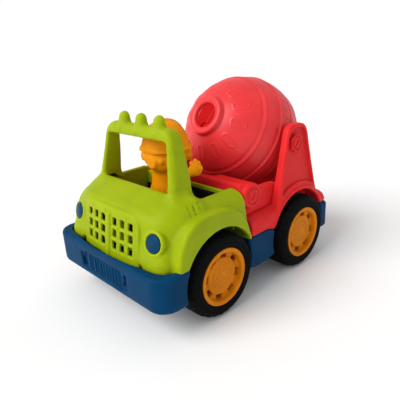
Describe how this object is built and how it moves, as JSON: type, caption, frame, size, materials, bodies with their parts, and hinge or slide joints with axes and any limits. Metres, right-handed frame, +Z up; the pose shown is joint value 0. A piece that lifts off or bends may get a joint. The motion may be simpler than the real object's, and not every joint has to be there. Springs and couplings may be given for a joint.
{
  "type": "toy cement mixer truck",
  "caption": "Chunky push-along toy cement mixer truck with an open cab, a lift-out driver, rolling wheels and a ball-shaped mixing drum that spins between two arms.",
  "frame": {"origin": "on the ground, in the middle of the truck's overall length and width", "axes": "-Y towards the front of the cab, +X to the truck's own left side, +Z up"},
  "size_m": [0.1636, 0.246, 0.1906],
  "materials": {
    "green_plastic": "satin moulded lime green plastic",
    "blue_plastic": "satin moulded dark blue plastic",
    "lamp_blue_plastic": "smooth blue plastic disc",
    "dark_plastic": "satin moulded very dark blue plastic",
    "red_plastic": "satin moulded red plastic",
    "drum_plastic": "satin moulded light red plastic",
    "orange_plastic": "satin moulded orange plastic",
    "amber_plastic": "satin moulded amber plastic",
    "tyre_rubber": "smooth black soft plastic",
    "axle_steel": "drawn steel rod",
    "screw_steel": "zinc-plated screws"
  },
  "bodies": {
    "root": {"chassis_base": "blue_plastic", "cab_shell": "green_plastic", "headlight_left": "lamp_blue_plastic", "headlight_right": "lamp_blue_plastic", "cabin_tub": "dark_plastic", "mixer_body": "red_plastic", "side_panel_left": "red_plastic", "side_panel_right": "red_plastic", "pivot_cap_left": "red_plastic", "pivot_cap_right": "red_plastic", "cab_screws": "screw_steel", "body_screws": "screw_steel"},
    "drum": {"drum_front_shell": "drum_plastic", "drum_rear_shell": "drum_plastic", "drum_pin_left": "red_plastic", "drum_pin_right": "red_plastic"},
    "front_wheelset": {"axle_front": "axle_steel", "rim_front_left": "amber_plastic", "rim_front_right": "amber_plastic", "tyre_front_left": "tyre_rubber", "tyre_front_right": "tyre_rubber"},
    "rear_wheelset": {"axle_rear": "axle_steel", "rim_rear_left": "amber_plastic", "rim_rear_right": "amber_plastic", "tyre_rear_left": "tyre_rubber", "tyre_rear_right": "tyre_rubber"},
    "driver": {"driver_figure": "orange_plastic"}
  },
  "joints": [
    {"name": "drum_spin", "type": "hinge", "parent": "root", "child": "drum", "pos_m": [0, 0.063, 0.1297], "axis": [1, 0, 0], "continuous": true},
    {"name": "front_axle_roll", "type": "hinge", "parent": "root", "child": "front_wheelset", "pos_m": [0, -0.0547, 0.038], "axis": [1, 0, 0], "continuous": true},
    {"name": "rear_axle_roll", "type": "hinge", "parent": "root", "child": "rear_wheelset", "pos_m": [0, 0.0633, 0.038], "axis": [1, 0, 0], "continuous": true},
    {"name": "driver_lift", "type": "slide", "parent": "root", "child": "driver", "axis": [0, 0, 1], "range_m": [0, 0.07]}
  ]
}
